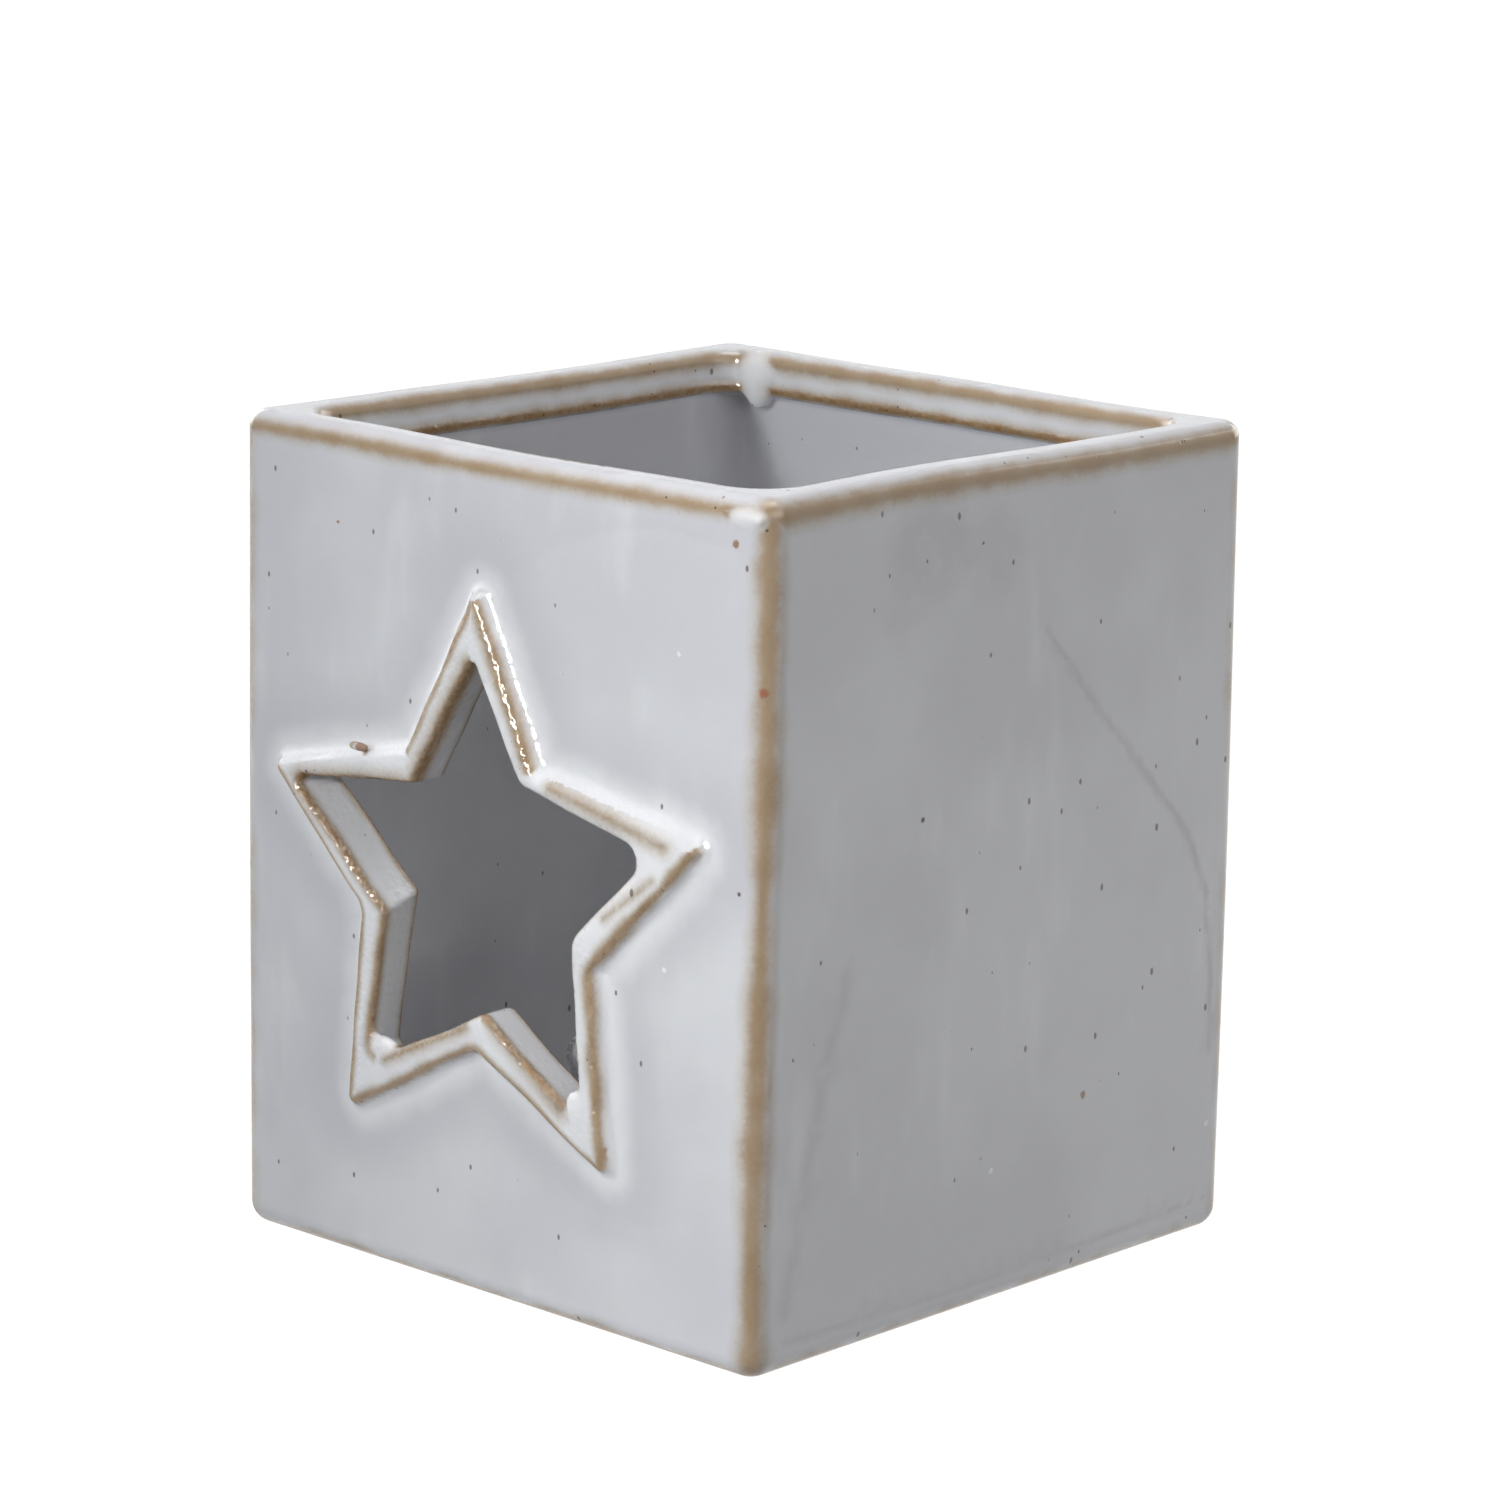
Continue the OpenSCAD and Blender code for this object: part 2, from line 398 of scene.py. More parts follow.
def glaze_values(points):
    """How near a brown line the glaze is, how warm that brown is, where it pools, where shade is painted, and
    so on.
    """
    x, y, z = points.T
    outside = square_distance(x, y, HALF, SIDE_EDGE_R)
    in_mouth = square_distance(x, y, MOUTH, MOUTH_CORNER_R)
    at_front = y < -CHAMBER + 3
    from_frame, from_window = frame_outline(x, z), window_distance(x, y, z)
    hidden = np.clip(0.5 + 3 * growth(window_outline, x, z, across=0.2), 0, 1)
    seen = 1 - hidden  # 1 on the window's walls that face right
    shelf = shelf_line(x, y, z, in_mouth)
    star = np.where(at_front, star_lines(x, y, z, from_frame, from_window, seen), NO_LINE)
    edge = np.minimum.reduce([body_lines(x, y, z, outside, in_mouth), shelf, star])

    warmth = np.clip(1.6 - from_window / 0.9, 0.4, 1) * at_front * np.clip(2 - from_frame / 2, 0, 1)
    warmth = np.maximum(warmth, np.clip(1.6 - shelf, 0, 1))
    pool = np.zeros(len(x))
    for centre, radii, _ in POOLING:
        pool = np.maximum(pool, np.clip(0.7 - run_distance(x, y, z, centre, radii), 0, 1))
    on_front = (y < -HALF + 1) & (from_frame > 0)
    halo = np.where(on_front, np.clip(from_frame, 0, NO_HALO), NO_HALO)
    halo = np.where(at_front & (from_frame <= 0), 0, halo)
    # Painted shade on the wall of the window's top arm, which faces down and right; it joins the right face's
    # darker traces in one value
    arm_wall = at_front & (seen > 0.5) & (z > STAR_Z + 7) & (np.abs(from_window) < 0.7)
    arm_shade = arm_wall * np.clip((y - FRONT - 1.0) / 1.5, 0, 1) * np.clip((z - STAR_Z - 7) / 1.5, 0, 1)
    trace_and_shade = np.maximum(right_face_traces(x, y, z), arm_shade)
    bare = np.clip(1.2 - z / 0.25, 0, 1) * (outside < -1.2)
    inside = np.clip(0.5 - (in_mouth - 1.0), 0, 1)
    return {"edge": np.clip(edge, 0, 4), "warmth": warmth, "pool": pool, "halo": halo, "bare": bare,
            "inside": inside, "trace_and_shade": trace_and_shade}


# --- Meshing ---
def split_edges(faces, split):
    """Cuts each triangle where its edges are marked. split(edges) gives each edge's new point, or -1."""
    edges = np.sort(np.stack([faces, np.roll(faces, -1, axis=1)], axis=2).reshape(-1, 2), axis=1)
    unique, which = np.unique(edges, axis=0, return_inverse=True)
    middle = split(unique)[which.reshape(-1)].reshape(-1, 3)
    marked = middle >= 0
    made = [faces[~marked.any(axis=1)]]
    for turn in range(3):
        f, m = np.roll(faces, -turn, axis=1), np.roll(middle, -turn, axis=1)
        k = np.roll(marked, -turn, axis=1)
        one = k[:, 0] & ~k[:, 1] & ~k[:, 2]
        made += [np.stack([f[one, 0], m[one, 0], f[one, 2]], 1),
                 np.stack([m[one, 0], f[one, 1], f[one, 2]], 1)]
        two = k[:, 0] & k[:, 1] & ~k[:, 2]
        made += [np.stack([m[two, 0], f[two, 1], m[two, 1]], 1),
                 np.stack([f[two, 0], m[two, 0], m[two, 1]], 1),
                 np.stack([f[two, 0], m[two, 1], f[two, 2]], 1)]
    full = marked.all(axis=1)
    f, m = faces[full], middle[full]
    made += [np.stack([f[:, i], m[:, i], m[:, i - 1]], 1) for i in range(3)] + [m]
    return np.concatenate(made)


TOLERANCES = {"edge": 0.12, "warmth": 0.12, "pool": 0.12, "halo": 0.35, "bare": 0.3, "inside": 0.3,
              "trace_and_shade": 0.25}


def body_surface():
    """Points, triangles and glaze values of the casting's skin, finest where something changes."""
    low = np.array([-HALF, FRONT, 0.0]) - GRID_MARGIN
    high = np.array([HALF, HALF, HEIGHT]) + GRID_MARGIN
    counts = np.ceil((high - low) / VOXEL).astype(int) + 1
    x, y, z = (low[i] + VOXEL * np.arange(counts[i]) for i in range(3))
    field = body_distance(x[:, None, None], y[None, :, None], z[None, None, :])
    grid = openvdb.FloatGrid(1.0)
    grid.copyFromArray(np.clip(field, -GRID_BAND, GRID_BAND).astype(np.float32))
    points, triangles, quads = grid.convertToPolygons(0.0, GRID_ADAPTIVITY)
    points = on_skin(points.astype(float) * VOXEL + low)
    faces = np.concatenate([triangles, quads[:, [0, 1, 2]], quads[:, [0, 2, 3]]]).astype(int)
    for _ in range(MESH_PASSES):
        values = glaze_values(points)
        made = []

        def split(edges):
            a, b = edges.T
            middle = (points[a] + points[b]) / 2
            skin = on_skin(middle)
            length = np.linalg.norm(points[a] - points[b], axis=1)
            wanted = (length > LONGEST) | (np.linalg.norm(skin - middle, axis=1) > OFF_SKIN)
            found = glaze_values(skin)
            for name, tolerance in TOLERANCES.items():
                off = found[name] - (values[name][a] + values[name][b]) / 2
                wanted |= np.abs(off) > tolerance
            wanted &= length > 2 * SHORTEST
            made.append(skin[wanted])
            return np.where(wanted, len(points) + np.cumsum(wanted) - 1, -1)

        faces = split_edges(faces, split)
        points = np.concatenate([points, made[0]])
        print("body skin:", len(points), "points", len(faces), "triangles", flush=True)
        if not len(made[0]):
            break
    return points, faces, glaze_values(points)


LEAN, BOW, NEAR_CORNER_REACH = 0.7, 0.25, 18


def warp(points):
    """The slight bow and lean of a hand-finished slip casting."""
    x, y, z = points.T
    up = z / HEIGHT
    near_corner = np.exp(-(((x - HALF) ** 2 + (y + HALF) ** 2) / NEAR_CORNER_REACH ** 2))
    lean = near_corner * (1.0 * up - 0.4) * np.clip(up * 4, 0, 1)
    dx = LEAN * lean + BOW * np.sin(0.045 * z + 0.03 * y) * up
    dy = LEAN * lean + BOW * np.sin(0.05 * z - 0.035 * x + 1.0) * up
    dz = 0.15 * up * np.sin(0.055 * x + 0.07 * y + 0.6) + 0.06 * up * np.sin(0.16 * x - 0.13 * y)
    return points + np.stack([dx, dy, dz], axis=1)


def warped_normals(points, step=0.5):
    """Smooth normals of the warped skin."""
    normals = slope(points)
    turned = np.empty_like(normals)
    for axis in range(3):
        shift = np.zeros(3)
        shift[axis] = step
        move = (warp(points + shift) - warp(points - shift)) / (2 * step)
        move[:, axis] -= 1
        turned[:, axis] = normals[:, axis] - (move * normals).sum(axis=1)
    return turned / np.linalg.norm(turned, axis=1, keepdims=True)


def mesh_object(name, points, faces, values=None, normals=None):
    """A smooth-shaded object from points in millimetres."""
    mesh = bpy.data.meshes.new(name)
    mesh.from_pydata((points * MM).tolist(), [], faces.tolist() if hasattr(faces, "tolist") else faces)
    mesh.polygons.foreach_set("use_smooth", [True] * len(mesh.polygons))
    for value_name, value in (values or {}).items():
        mesh.attributes.new(value_name, "FLOAT", "POINT").data.foreach_set("value", value.astype(np.float32))
    mesh.update()
    if normals is not None:
        mesh.normals_split_custom_set_from_vertices(normals.tolist())
    made = bpy.data.objects.new(name, mesh)
    bpy.context.scene.collection.objects.link(made)
    return made


def lathe(name, profile, around, wobble=None):
    """A closed profile of (radius, height) turned about the upright axis.

    wobble(angle, radius, height) gives the moved radius and height.
    """
    profile = np.array(profile, float)
    angles = np.linspace(0, 2 * math.pi, around, endpoint=False)
    points, faces, rows = [], [], []
    for radius, z in profile:
        if radius == 0:
            rows.append(np.full(around, len(points)))
            points.append((0, 0, z))
            continue
        r, h = np.full(around, radius), np.full(around, z)
        if wobble:
            r, h = wobble(angles, r, h)
        rows.append(len(points) + np.arange(around))
        points += list(zip(r * np.cos(angles), r * np.sin(angles), h))
    closed = profile[0][0] > 0
    for i in range(len(rows) - (0 if closed else 1)):
        a, b = rows[i], rows[(i + 1) % len(rows)]
        for j in range(around):
            k = (j + 1) % around
            corners = [a[j], a[k], b[k], b[j]]
            faces.append([int(c) for n, c in enumerate(corners) if c not in corners[:n]])
    return mesh_object(name, np.array(points), faces)


def arc(cx, cz, radius, start, end, steps):
    """Points of an arc in the profile plane; angles in degrees."""
    return [(cx + radius * math.cos(math.radians(t)), cz + radius * math.sin(math.radians(t)))
            for t in np.linspace(start, end, steps)]


# --- Shader helper ---
class Shader:
    """One material's nodes. Coordinates are in millimetres in the piece's own frame."""

    def __init__(self, name):
        self.material = bpy.data.materials.new(name)
        self.material.use_nodes = True
        self.tree = self.material.node_tree
        self.tree.nodes.clear()
        self.surface = self.add("ShaderNodeBsdfPrincipled")
        output = self.add("ShaderNodeOutputMaterial")
        self.tree.links.new(self.surface.outputs[0], output.inputs["Surface"])
        place = self.add("ShaderNodeTexCoord").outputs["Object"]
        self.place = self.vector("SCALE", place, 1 / MM)
        parts = self.add("ShaderNodeSeparateXYZ")
        self.put(parts.inputs[0], self.place)
        self.x, self.y, self.z = parts.outputs

    def add(self, kind, **settings):
        node = self.tree.nodes.new(kind)
        for key, value in settings.items():
            setattr(node, key, value)
        return node

    def put(self, socket, value):
        if isinstance(value, bpy.types.NodeSocket):
            self.tree.links.new(value, socket)
        elif socket.type == "RGBA" and len(value) == 3:
            socket.default_value = (*value, 1)
        else:
            socket.default_value = value

    def set(self, **values):
        for key, value in values.items():
            self.put(self.surface.inputs[key.replace("_", " ")], value)

    def math(self, operation, a, b=0.0, c=0.0, clamp=False):
        node = self.add("ShaderNodeMath", operation=operation, use_clamp=clamp)
        for socket, value in zip(node.inputs, (a, b, c)):
            self.put(socket, value)
        return node.outputs[0]

    def vector(self, operation, a, b=None):
        node = self.add("ShaderNodeVectorMath", operation=operation)
        self.put(node.inputs[0], a)
        if operation == "SCALE":
            self.put(node.inputs["Scale"], b)
        elif b is not None:
            self.put(node.inputs[1], b)
        return node.outputs["Value" if operation in ("DISTANCE", "LENGTH") else "Vector"]

    def stretch(self, scale):
        return self.vector("MULTIPLY", self.place, scale)

    def value(self, name):
        return self.add("ShaderNodeAttribute", attribute_name=name).outputs["Fac"]

    def noise(self, size, detail=2.0, roughness=0.5, place=None, distortion=0.0):
        node = self.add("ShaderNodeTexNoise")
        self.put(node.inputs["Vector"], place or self.place)
        settings = {"Scale": 1 / size, "Detail": detail, "Roughness": roughness, "Distortion": distortion}
        for key, value in settings.items():
            self.put(node.inputs[key], value)
        return node.outputs["Fac"]

    def ramp(self, value, low, high, start=0.0, end=1.0):
        """Goes smoothly from start to end as value goes from low to high."""
        node = self.add("ShaderNodeMapRange", interpolation_type="SMOOTHSTEP")
        for socket, number in zip(node.inputs, (value, low, high, start, end)):
            self.put(socket, number)
        return node.outputs[0]

    def mix(self, amount, a, b):
        node = self.add("ShaderNodeMix", data_type="RGBA")
        self.put(node.inputs[0], amount)
        self.put(node.inputs[6], a)
        self.put(node.inputs[7], b)
        return node.outputs[2]

    def jostled(self, size, amount):
        """The place, moved about at random by up to half of amount."""
        node = self.add("ShaderNodeTexNoise")
        self.put(node.inputs["Vector"], self.place)
        self.put(node.inputs["Scale"], 1 / size)
        shift = self.vector("SCALE", self.vector("SUBTRACT", node.outputs["Color"], (0.5, 0.5, 0.5)), amount)
        return self.vector("ADD", self.place, shift)

    def specks(self, size, chance, low, high, place=None):
        """Scattered dots: one in each cell of that size, where the cell's own number is under chance."""
        node = self.add("ShaderNodeTexVoronoi")
        self.put(node.inputs["Vector"], place or self.place)
        self.put(node.inputs["Scale"], 1 / size)
        lot = self.add("ShaderNodeSeparateXYZ")
        self.put(lot.inputs[0], node.outputs["Color"])
        here = self.math("LESS_THAN", lot.outputs[0], chance)
        radius = self.ramp(lot.outputs[1], 0.0, 1.0, low / size, high / size)
        dot = self.math("SUBTRACT", 1.0, self.math("DIVIDE", node.outputs["Distance"], radius), clamp=True)
        return self.math("MULTIPLY", here, self.ramp(dot, 0.0, 0.4))

    def bump(self, height, distance, strength=1.0):
        node = self.add("ShaderNodeBump")
        self.put(node.inputs["Height"], height)
        self.put(node.inputs["Distance"], distance)
        self.put(node.inputs["Strength"], strength)
        self.put(self.surface.inputs["Normal"], node.outputs[0])


# --- Materials ---
GLAZE_LIGHT, GLAZE_COOL, GLAZE_WHITE = (0.60, 0.605, 0.63), (0.535, 0.538, 0.57), (0.74, 0.745, 0.755)
# The inside colour is painted shade for the lower part of the hollow
HALO_SHADE, INSIDE_PAINTED_SHADE = (0.43, 0.42, 0.46), (0.27, 0.26, 0.255)
BREAK_TAN, BREAK_GREY, BREAK_WARM = (0.31, 0.213, 0.12), (0.385, 0.31, 0.22), (0.24, 0.12, 0.04)
SPECK, RUST = (0.08, 0.052, 0.03), (0.30, 0.10, 0.04)
CLAY = (0.44, 0.34, 0.25)

# Sizes of the glaze's patterns in millimetres, largest first
CLOUD, WAVE, STREAK, BLOTCH, PEEL, SCORCH, GRIT, CRUST, GRAIN = 26, 12, 9, 3.2, 2.2, 1.6, 0.9, 0.7, 0.55
RELIEF = 0.09  # millimetres

# The larger marks in the glaze: place, radius and colour
MARKS = (
    ((35.7, -40, 89.0), 0.55, BREAK_WARM), ((36.9, -40, 52.6), 0.32, SPECK),
    ((-23.5, -40, 83.5), 0.22, BREAK_WARM), ((28.0, -40, 76.5), 0.28, GLAZE_WHITE),
    ((26.5, -40, 42.5), 0.28, GLAZE_WHITE), ((39.5, -39.5, 74.0), 0.75, RUST),
    ((39.5, -39.3, 31.5), 0.4, SPECK), ((38.2, -40.0, 28.5), 0.3, GLAZE_WHITE),
    ((40, -34.5, 91.5), 0.35, BREAK_WARM), ((40, -33.5, 88.0), 0.3, BREAK_WARM),
    ((40, -15.0, 57.0), 0.35, SPECK), ((40, -6.0, 85.5), 0.25, BREAK_WARM),
    ((40, 13.5, 21.0), 0.5, BREAK_TAN), ((40, -2.0, 15.5), 0.35, GLAZE_WHITE),
    ((40, 36.0, 13.0), 0.4, GLAZE_WHITE), ((-19.3, -41.8, 59.8), 0.9, BREAK_TAN),
    ((-17.7, -41.8, 59.5), 1.0, BREAK_WARM), ((-24.2, -37.9, 53.8), 0.6, SPECK),
    ((-40, 12.0, 66.0), 0.4, SPECK), ((-40, -18.0, 31.0), 0.3, BREAK_WARM),
    ((9.0, 40, 71.0), 0.4, BREAK_WARM), ((-24.0, 40, 38.0), 0.45, SPECK),
)


def glaze_ground(s, medium):
    """The glaze away from its edges: clouded and streaked, with a halo around the star, darker traces, and
    painted shade on the wall of the window's top arm.
    """
    broad = s.math("ADD", s.noise(CLOUD, 3, 0.5), s.ramp(s.z, 55, 88, 0, 0.2))
    streak = s.noise(STREAK, 3, 0.55, s.stretch((1, 1, 0.35)))
    colour = s.mix(s.ramp(broad, 0.35, 0.68), GLAZE_LIGHT, GLAZE_COOL)
    colour = s.mix(s.ramp(streak, 0.52, 0.78, 0, 0.35), colour, GLAZE_WHITE)
    halo = s.math("ADD", s.value("halo"), s.math("MULTIPLY_ADD", medium, 1.6, -0.8))
    rise, fall = s.ramp(halo, 1.6, 4.6), s.ramp(halo, 4.0, 11.0, 1, 0)
    colour = s.mix(s.math("MULTIPLY", s.math("MULTIPLY", rise, fall), 0.4), colour, HALO_SHADE)
    colour = s.mix(s.ramp(halo, 0.0, 4.2, 0.6, 0), colour, GLAZE_WHITE)
    # The right face's darker traces, and painted shade on the window's top-arm wall
    dim = s.math("MULTIPLY", s.value("trace_and_shade"), s.ramp(medium, 0.25, 0.6, 0.35, 0.85))
    return s.mix(dim, colour, HALO_SHADE)


def painted_light_inside(s, colour):
    """The hollow's inner walls: painted light whitening them under the collar, and painted shade darkening
    them below an uneven line.
    """
    inside = s.value("inside")
    shade_line = s.math("ADD", s.z, s.math("MULTIPLY", s.math("SINE", s.math("MULTIPLY", s.y, 0.19)), 2.5))
    shade_line = s.math("ADD", shade_line, s.math("MULTIPLY", s.noise(WAVE, 2, 0.5), 8.0))
    # Painted light near the mouth, then painted shade below the uneven line
    colour = s.mix(s.math("MULTIPLY", inside, s.ramp(s.z, 76, 88, 0, 0.6)), colour, GLAZE_WHITE)
    below = s.math("MULTIPLY", s.ramp(shade_line, 45.5, 48.5, 0.85, 0.25), s.ramp(s.z, 48, 82, 1, 0))
    return s.mix(s.math("MULTIPLY", inside, below), colour, INSIDE_PAINTED_SHADE)


def glaze_breaks(s, colour, medium, fine):
    """The brown where the glaze is thin. Gives the colour, the distance to the line and how brown it is."""
    edge = s.math("ADD", s.value("edge"), s.math("MULTIPLY_ADD", medium, 0.5, -0.25))
    edge = s.math("ADD", edge, s.math("MULTIPLY_ADD", fine, 0.4, -0.2))
    keep = s.math("SUBTRACT", 1.0, s.value("pool"), clamp=True)
    fringe = s.math("MULTIPLY", s.ramp(edge, 1.0, 2.1, 0.35, 0), keep)
    colour = s.mix(fringe, colour, BREAK_GREY)
    cold = s.math("MULTIPLY_ADD", s.value("warmth"), -0.8, 1.0)
    greyed = s.math("MULTIPLY", s.ramp(medium, 0.3, 0.75, 0.2, 0.85), cold)
    brown = s.mix(greyed, BREAK_TAN, BREAK_GREY)
    core = s.ramp(edge, -0.1, 0.9, 1, 0)
    scorch = s.math("MULTIPLY", core, s.ramp(s.noise(SCORCH, 4, 0.65), 0.38, 0.62, 0.2, 1.0))
    scorch = s.math("MULTIPLY", scorch, s.math("MULTIPLY_ADD", s.value("warmth"), 0.6, 0.4), clamp=True)
    brown = s.mix(scorch, brown, BREAK_WARM)
    broken = s.math("MULTIPLY", s.ramp(edge, 0.3, 1.45, 1, 0), keep)
    colour = s.mix(broken, colour, brown)
    colour = s.mix(s.math("MULTIPLY", s.value("pool"), 0.9), colour, GLAZE_WHITE)
    return colour, edge, broken


def glaze_marks(s, colour, edge):
    """Specks, crumbs along the brown lines, and the larger marks. Gives the colour and the specks."""
    dots = s.specks(3.2, 0.7, 0.14, 0.34, s.stretch((1, 1, 0.6)))
    crumbs = s.math("MULTIPLY", s.specks(1.7, 0.35, 0.08, 0.22), s.ramp(edge, 0.9, 1.6, 0.9, 0))
    colour = s.mix(s.math("MULTIPLY", dots, 0.75), colour, SPECK)
    colour = s.mix(crumbs, colour, SPECK)
    place = s.jostled(0.8, 0.5)
    for centre, radius, tint in MARKS:
        spot = s.ramp(s.vector("DISTANCE", place, centre), 0.6 * radius, 1.15 * radius, 0.9, 0)
        colour = s.mix(spot, colour, tint)
    return colour, dots


def glaze_relief(s, fine, grit, broken, dots, bare):
    """Height of the glaze's orange peel, its crust along the brown, its pits and the bare clay's grit."""
    peel = s.math("ADD", s.math("MULTIPLY", s.noise(PEEL, 2, 0.5), 0.5), s.math("MULTIPLY", fine, 0.06))
    crusty = s.math("MULTIPLY", s.math("MULTIPLY", broken, s.value("warmth")), 2.2)
    crusty = s.math("ADD", crusty, s.ramp(s.value("halo"), 0.0, 2.0, 1.4, 0))
    peel = s.math("ADD", peel, s.math("MULTIPLY", s.noise(CRUST, 1, 0.5), crusty))
    pits = s.math("MULTIPLY", dots, -0.3)
    rough = s.math("MULTIPLY", s.math("MULTIPLY", grit, bare), 1.5)
    return s.math("ADD", s.math("ADD", peel, pits), rough)


def glaze_material():
    """Grey-white reactive glaze that breaks to brown along edges and pools white in corners."""
    s = Shader("reactive_glaze")
    medium, fine, grit = s.noise(BLOTCH, 3, 0.6), s.noise(GRAIN, 3, 0.6), s.noise(GRIT, 4, 0.7)
    bare = s.value("bare")
    colour = painted_light_inside(s, glaze_ground(s, medium))
    colour, edge, broken = glaze_breaks(s, colour, medium, fine)
    colour, dots = glaze_marks(s, colour, edge)
    colour = s.mix(bare, colour, s.mix(s.ramp(grit, 0.4, 0.65), CLAY, BREAK_GREY))
    gloss = s.math("MULTIPLY_ADD", broken, 0.10, s.ramp(medium, 0.3, 0.7, 0.04, 0.09))
    gloss = s.math("MAXIMUM", gloss, s.math("MULTIPLY", bare, 0.85))
    s.set(Base_Color=colour, Roughness=gloss)
    s.bump(glaze_relief(s, fine, grit, broken, dots, bare), RELIEF * MM)
    return s.material


FLUTES = 72


def aluminium_material():
    """Rolled foil with creases, with painted shade in the grooves between the flutes of the side."""
    s = Shader("pressed_aluminium")
    rolled = s.noise(1.2, 3, 0.6, s.stretch((1, 1, 6)))
    creases = s.noise(3.5, 2, 0.5, distortion=0.6)
    colour = s.mix(s.ramp(rolled, 0.3, 0.7), (0.74, 0.75, 0.77), (0.60, 0.61, 0.63))
    flute = s.math("COSINE", s.math("MULTIPLY", s.math("ARCTAN2", s.y, s.x), FLUTES))
    on_side = s.math("MULTIPLY", s.ramp(s.z, FLOOR + 2, FLOOR + 4),
                     s.ramp(s.z, FLOOR + 13, FLOOR + 14.5, 1, 0))
    # Painted shade in the grooves between the flutes
    groove_shade = s.math("MULTIPLY", s.ramp(flute, -0.2, 1.0, 0, 0.5), on_side)
    colour = s.mix(groove_shade, colour, (0.36, 0.37, 0.39))
    s.set(Base_Color=colour, Metallic=1.0, Roughness=s.ramp(rolled, 0.3, 0.7, 0.2, 0.38))
    s.bump(s.math("ADD", s.math("MULTIPLY", rolled, 0.3), creases), 0.05 * MM)
    return s.material


def wax_material():
    """Cloudy paraffin with a little light passing through it."""
    s = Shader("paraffin_wax")
    cloudy = s.noise(5, 3, 0.6)
    frost = s.noise(0.7, 3, 0.65)
    colour = s.mix(s.ramp(cloudy, 0.35, 0.7), (0.84, 0.82, 0.76), (0.75, 0.73, 0.66))
    s.set(Base_Color=colour, Roughness=s.ramp(frost, 0.3, 0.7, 0.32, 0.5))
    s.set(Subsurface_Weight=0.35, Subsurface_Scale=2 * MM)
    s.surface.inputs["Subsurface Radius"].default_value = (1.0, 0.85, 0.6)
    s.bump(s.math("ADD", s.math("MULTIPLY", frost, 0.2), cloudy), 0.1 * MM)
    return s.material


def wick_material():
    """Cotton with fine fibres along the braid."""
    s = Shader("braided_cotton")
    fibres = s.noise(0.16, 3, 0.6, s.stretch((1, 1, 0.3)))
    colour = s.mix(s.ramp(fibres, 0.3, 0.7), (0.80, 0.76, 0.66), (0.58, 0.53, 0.43))
    s.set(Base_Color=colour, Roughness=s.ramp(fibres, 0.3, 0.7, 0.55, 0.8))
    s.bump(fibres, 0.05 * MM)
    return s.material


def steel_material():
    """Thin zinc-plated sheet with its spangles."""
    s = Shader("zinc_plated_steel")
    spangle = s.add("ShaderNodeTexVoronoi")
    s.put(spangle.inputs["Vector"], s.place)
    s.put(spangle.inputs["Scale"], 1.0)
    grain = s.noise(0.5, 3, 0.6)
    colour = s.mix(s.ramp(spangle.outputs["Distance"], 0.1, 0.8), (0.60, 0.61, 0.62), (0.46, 0.47, 0.48))
    s.set(Base_Color=colour, Metallic=1.0, Roughness=s.ramp(grain, 0.3, 0.7, 0.28, 0.45))
    s.bump(grain, 0.02 * MM)
    return s.material


# --- Pieces ---
def make_body():
    """The glazed casting: floor, walls, collar and the star with its frame."""
    points, faces, values = body_surface()
    body = mesh_object("glazed_body", warp(points), faces, values, warped_normals(points))
    body.data.materials.append(glaze_material())
    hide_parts("holder_body")
    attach(body, "holder")


cup_low, cup_high = (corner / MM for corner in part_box("tealight_cup"))
wax_low, wax_high = (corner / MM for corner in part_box("candle_wax"))
disc_low, disc_high = (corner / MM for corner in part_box("wick_sustainer"))
wick_low, wick_high = (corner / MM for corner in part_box("wick"))


def make_cup():
    """The foil cup: a sheet with a bead and a standing ring in its bottom, a fluted side and a rolled lip."""
    lip_r, thick, ring, tuck, flute_depth = 0.45, 0.3, 2.4, 0.4, 0.12
    top = cup_high.z - lip_r
    side = cup_high.x - 2 * lip_r + tuck
    floor = cup_low.z
    sheet_low, sheet_top, ring_in = floor + 0.6, floor + 0.95, side - ring
    bead_low, bead_top = floor + 0.72, floor + 1.0
    profile = [(0, sheet_low), (7.0, sheet_low), (7.3, bead_low), (7.9, bead_low), (8.2, sheet_low)]
    profile += [(ring_in - 0.5, sheet_low), (ring_in - 0.1, floor + 0.45), (ring_in + 0.1, floor + 0.12)]
    profile += arc(ring_in + 0.5, floor + 0.3, 0.3, 200, 270, 4)
    profile += arc(side - 0.7, floor + 0.7, 0.7, 270, 360, 7)
    profile += [(side, z) for z in np.linspace(floor + 1.0, top - 0.8, 26)]
    profile += [(side - 0.02, top - 0.5)]
    profile += arc(cup_high.x - lip_r, top, lip_r, -150, 150, 15)
    profile += [(side - thick - 0.05, top - 0.15)]
    profile += [(side - thick, z) for z in np.linspace(top - 0.8, floor + 1.2, 26)]
    profile += arc(side - 0.9, floor + 0.9, 0.6, 0, -90, 5)
    profile += [(ring_in + 0.6, floor + 0.4), (ring_in + 0.3, floor + 0.85), (ring_in - 0.3, sheet_top)]
    profile += [(8.2, sheet_top), (7.9, bead_top), (7.3, bead_top), (7.0, sheet_top), (0, sheet_top)]

    def flutes(angle, r, z):
        """Shallow flutes pressed into the side, fading out at its foot and its lip."""
        up = np.clip((z - floor - 2) / 3, 0, 1) * np.clip((top - 1.2 - z) / 1.5, 0, 1)
        depth = np.where(r > ring_in + 1.2, flute_depth * up, 0)
        return r - depth * (0.5 + 0.5 * np.cos(FLUTES * angle)), z

    cup = lathe("foil_cup", profile, 432, flutes)
    cup.data.materials.append(aluminium_material())
    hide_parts("tealight_cup")
    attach(cup, "cup")


